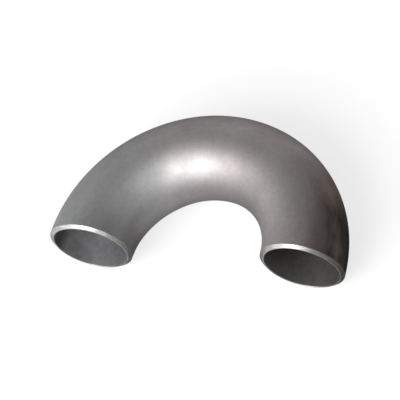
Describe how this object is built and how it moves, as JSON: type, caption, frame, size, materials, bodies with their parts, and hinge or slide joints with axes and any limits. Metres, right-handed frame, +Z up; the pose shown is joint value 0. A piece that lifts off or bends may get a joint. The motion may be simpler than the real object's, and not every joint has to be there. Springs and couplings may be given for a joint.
{
  "type": "return bend",
  "caption": "Long-radius 180 degree butt-weld return bend: a curved stainless pipe fitting that turns a line back beside itself, with both ends bevelled and square.",
  "frame": {"origin": "bottom centre of the fitting's box, with the bend lying flat on its side as it rests", "axes": "+X from the left weld end to the right one, +Y from the weld ends towards the back of the arch, +Z up, square to the plane of the bend; both weld ends face -Y"},
  "size_m": [0.419, 0.2095, 0.1143],
  "materials": {
    "stainless": "pickled satin outside and in, with bright turned weld ends"
  },
  "bodies": {
    "root": {"return_bend": "stainless"}
  },
  "joints": []
}
